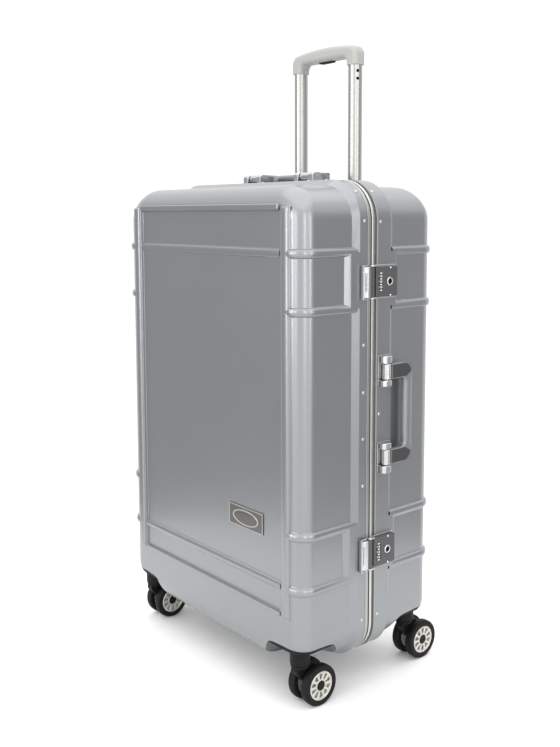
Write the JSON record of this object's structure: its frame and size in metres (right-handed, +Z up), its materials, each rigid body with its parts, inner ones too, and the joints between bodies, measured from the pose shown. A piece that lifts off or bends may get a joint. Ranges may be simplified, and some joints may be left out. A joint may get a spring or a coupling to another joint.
{
  "type": "hard shell suitcase",
  "caption": "Upright hard shell suitcase with an aluminium clamshell frame, combination locks, bail handles, telescopic trolley and swivelling twin-wheel casters.",
  "frame": {"origin": "middle of the footprint, on the floor under the wheels", "axes": "+Z up, +X towards the side with the locks and side handle, +Y towards the back with the trolley"},
  "size_m": [0.4836, 0.3062, 0.9945],
  "materials": {
    "shell_plastic": "satin, silver-grey with a fine metallic flake",
    "frame_aluminium": "satin anodised",
    "seal_rubber": "matte black",
    "lining_fabric": "woven polyester, dark grey",
    "strap_webbing": "woven webbing, black",
    "name_plate": "brushed, with a plain raised oval",
    "trolley_aluminium": "satin anodised",
    "black_plastic": "fine textured",
    "grip_plastic": "light warm grey, smooth",
    "lock_plate": "dark gunmetal, fine texture",
    "lock_metal": "satin chrome",
    "dial_plastic": "off-white",
    "hinge_steel": "satin",
    "handle_metal": "silver lacquer on a cast core",
    "tyre": "black polyurethane tread on a silver rim"
  },
  "bodies": {
    "case_back": {"back_shell": "shell_plastic", "back_frame": "frame_aluminium", "frame_seal": "seal_rubber", "back_lining": "lining_fabric", "packing_strap": "strap_webbing", "trolley_guide_left": "trolley_aluminium", "trolley_guide_right": "trolley_aluminium", "trolley_bezel": "black_plastic", "upper_lock_body": "lock_plate", "lower_lock_body": "lock_plate", "upper_hinge_back": "hinge_steel", "lower_hinge_back": "hinge_steel", "side_handle_lug_upper": "lock_metal", "side_handle_lug_lower": "lock_metal", "top_handle_lug_left": "lock_metal", "top_handle_lug_right": "lock_metal", "caster_mount_back_left": "black_plastic", "caster_mount_back_right": "black_plastic"},
    "case_front": {"front_shell": "shell_plastic", "front_frame": "frame_aluminium", "front_lining": "lining_fabric", "name_plate": "name_plate", "upper_catch": "lock_metal", "lower_catch": "lock_metal", "upper_hinge_front": "hinge_steel", "lower_hinge_front": "hinge_steel", "caster_mount_front_left": "black_plastic", "caster_mount_front_right": "black_plastic"},
    "trolley": {"trolley_tube_left": "trolley_aluminium", "trolley_tube_right": "trolley_aluminium", "trolley_grip": "grip_plastic"},
    "release_button": {"release_button": "black_plastic"},
    "side_handle": {"side_handle_bail": "handle_metal"},
    "top_handle": {"top_handle_bail": "handle_metal"},
    "upper_lever": {"upper_lock_lever": "lock_metal"},
    "upper_dial_1": {"upper_dial_1": "dial_plastic"},
    "upper_dial_2": {"upper_dial_2": "dial_plastic"},
    "upper_dial_3": {"upper_dial_3": "dial_plastic"},
    "upper_key": {"upper_key_cylinder": "lock_metal"},
    "lower_lever": {"lower_lock_lever": "lock_metal"},
    "lower_dial_1": {"lower_dial_1": "dial_plastic"},
    "lower_dial_2": {"lower_dial_2": "dial_plastic"},
    "lower_dial_3": {"lower_dial_3": "dial_plastic"},
    "lower_key": {"lower_key_cylinder": "lock_metal"},
    "caster_front_left": {"caster_fork_front_left": "black_plastic", "caster_axle_front_left": "hinge_steel"},
    "wheel_front_left_a": {"wheel_front_left_a": "tyre"},
    "wheel_front_left_b": {"wheel_front_left_b": "tyre"},
    "caster_front_right": {"caster_fork_front_right": "black_plastic", "caster_axle_front_right": "hinge_steel"},
    "wheel_front_right_a": {"wheel_front_right_a": "tyre"},
    "wheel_front_right_b": {"wheel_front_right_b": "tyre"},
    "caster_back_left": {"caster_fork_back_left": "black_plastic", "caster_axle_back_left": "hinge_steel"},
    "wheel_back_left_a": {"wheel_back_left_a": "tyre"},
    "wheel_back_left_b": {"wheel_back_left_b": "tyre"},
    "caster_back_right": {"caster_fork_back_right": "black_plastic", "caster_axle_back_right": "hinge_steel"},
    "wheel_back_right_a": {"wheel_back_right_a": "tyre"},
    "wheel_back_right_b": {"wheel_back_right_b": "tyre"}
  },
  "joints": [
    {"name": "lid_hinge", "type": "hinge", "parent": "case_back", "child": "case_front", "pos_m": [-0.2345, -0.01705, 0.4], "axis": [0, 0, -1], "range_deg": [0, 180]},
    {"name": "trolley_slide", "type": "slide", "parent": "case_back", "child": "trolley", "axis": [0, 0, 1], "range_m": [-0.189, 0]},
    {"name": "release_button_press", "type": "slide", "parent": "trolley", "child": "release_button", "axis": [0, 0, 1], "range_m": [0, 0.003], "stiffness_N_per_m": 600},
    {"name": "side_handle_swing", "type": "hinge", "parent": "case_back", "child": "side_handle", "pos_m": [0.2385, 0.00645, 0.423], "axis": [0, 0, -1], "range_deg": [0, 90]},
    {"name": "top_handle_swing", "type": "hinge", "parent": "case_back", "child": "top_handle", "pos_m": [0, 0.00645, 0.776], "axis": [1, 0, 0], "range_deg": [0, 90]},
    {"name": "upper_lever_flip", "type": "hinge", "parent": "case_back", "child": "upper_lever", "pos_m": [0.2345, -0.02155, 0.6195], "axis": [0, 0, 1], "range_deg": [0, 100]},
    {"name": "upper_dial_1_spin", "type": "hinge", "parent": "case_back", "child": "upper_dial_1", "pos_m": [0.2344, -0.00605, 0.6275], "axis": [0, 0, 1], "continuous": true},
    {"name": "upper_dial_2_spin", "type": "hinge", "parent": "case_back", "child": "upper_dial_2", "pos_m": [0.2344, -0.00605, 0.6195], "axis": [0, 0, 1], "continuous": true},
    {"name": "upper_dial_3_spin", "type": "hinge", "parent": "case_back", "child": "upper_dial_3", "pos_m": [0.2344, -0.00605, 0.6115], "axis": [0, 0, 1], "continuous": true},
    {"name": "upper_key_turn", "type": "hinge", "parent": "case_back", "child": "upper_key", "pos_m": [0.2345, 0.01245, 0.6195], "axis": [1, 0, 0], "range_deg": [0, 90]},
    {"name": "lower_lever_flip", "type": "hinge", "parent": "case_back", "child": "lower_lever", "pos_m": [0.2345, -0.02155, 0.216], "axis": [0, 0, 1], "range_deg": [0, 100]},
    {"name": "lower_dial_1_spin", "type": "hinge", "parent": "case_back", "child": "lower_dial_1", "pos_m": [0.2344, -0.00605, 0.224], "axis": [0, 0, 1], "continuous": true},
    {"name": "lower_dial_2_spin", "type": "hinge", "parent": "case_back", "child": "lower_dial_2", "pos_m": [0.2344, -0.00605, 0.216], "axis": [0, 0, 1], "continuous": true},
    {"name": "lower_dial_3_spin", "type": "hinge", "parent": "case_back", "child": "lower_dial_3", "pos_m": [0.2344, -0.00605, 0.208], "axis": [0, 0, 1], "continuous": true},
    {"name": "lower_key_turn", "type": "hinge", "parent": "case_back", "child": "lower_key", "pos_m": [0.2345, 0.01245, 0.216], "axis": [1, 0, 0], "range_deg": [0, 90]},
    {"name": "caster_front_left_swivel", "type": "hinge", "parent": "case_front", "child": "caster_front_left", "pos_m": [-0.1955, -0.12555, 0.064], "axis": [0, 0, 1], "continuous": true},
    {"name": "wheel_front_left_a_roll", "type": "hinge", "parent": "caster_front_left", "child": "wheel_front_left_a", "pos_m": [-0.1955, -0.10155, 0.0306], "axis": [1, 0, 0], "continuous": true},
    {"name": "wheel_front_left_b_roll", "type": "hinge", "parent": "caster_front_left", "child": "wheel_front_left_b", "pos_m": [-0.1955, -0.10155, 0.0306], "axis": [1, 0, 0], "continuous": true},
    {"name": "caster_front_right_swivel", "type": "hinge", "parent": "case_front", "child": "caster_front_right", "pos_m": [0.1955, -0.12555, 0.064], "axis": [0, 0, 1], "continuous": true},
    {"name": "wheel_front_right_a_roll", "type": "hinge", "parent": "caster_front_right", "child": "wheel_front_right_a", "pos_m": [0.1955, -0.10155, 0.0306], "axis": [1, 0, 0], "continuous": true},
    {"name": "wheel_front_right_b_roll", "type": "hinge", "parent": "caster_front_right", "child": "wheel_front_right_b", "pos_m": [0.1955, -0.10155, 0.0306], "axis": [1, 0, 0], "continuous": true},
    {"name": "caster_back_left_swivel", "type": "hinge", "parent": "case_back", "child": "caster_back_left", "pos_m": [-0.1955, 0.09845, 0.064], "axis": [0, 0, 1], "continuous": true},
    {"name": "wheel_back_left_a_roll", "type": "hinge", "parent": "caster_back_left", "child": "wheel_back_left_a", "pos_m": [-0.1955, 0.12245, 0.0306], "axis": [1, 0, 0], "continuous": true},
    {"name": "wheel_back_left_b_roll", "type": "hinge", "parent": "caster_back_left", "child": "wheel_back_left_b", "pos_m": [-0.1955, 0.12245, 0.0306], "axis": [1, 0, 0], "continuous": true},
    {"name": "caster_back_right_swivel", "type": "hinge", "parent": "case_back", "child": "caster_back_right", "pos_m": [0.1955, 0.09845, 0.064], "axis": [0, 0, 1], "continuous": true},
    {"name": "wheel_back_right_a_roll", "type": "hinge", "parent": "caster_back_right", "child": "wheel_back_right_a", "pos_m": [0.1955, 0.12245, 0.0306], "axis": [1, 0, 0], "continuous": true},
    {"name": "wheel_back_right_b_roll", "type": "hinge", "parent": "caster_back_right", "child": "wheel_back_right_b", "pos_m": [0.1955, 0.12245, 0.0306], "axis": [1, 0, 0], "continuous": true}
  ]
}
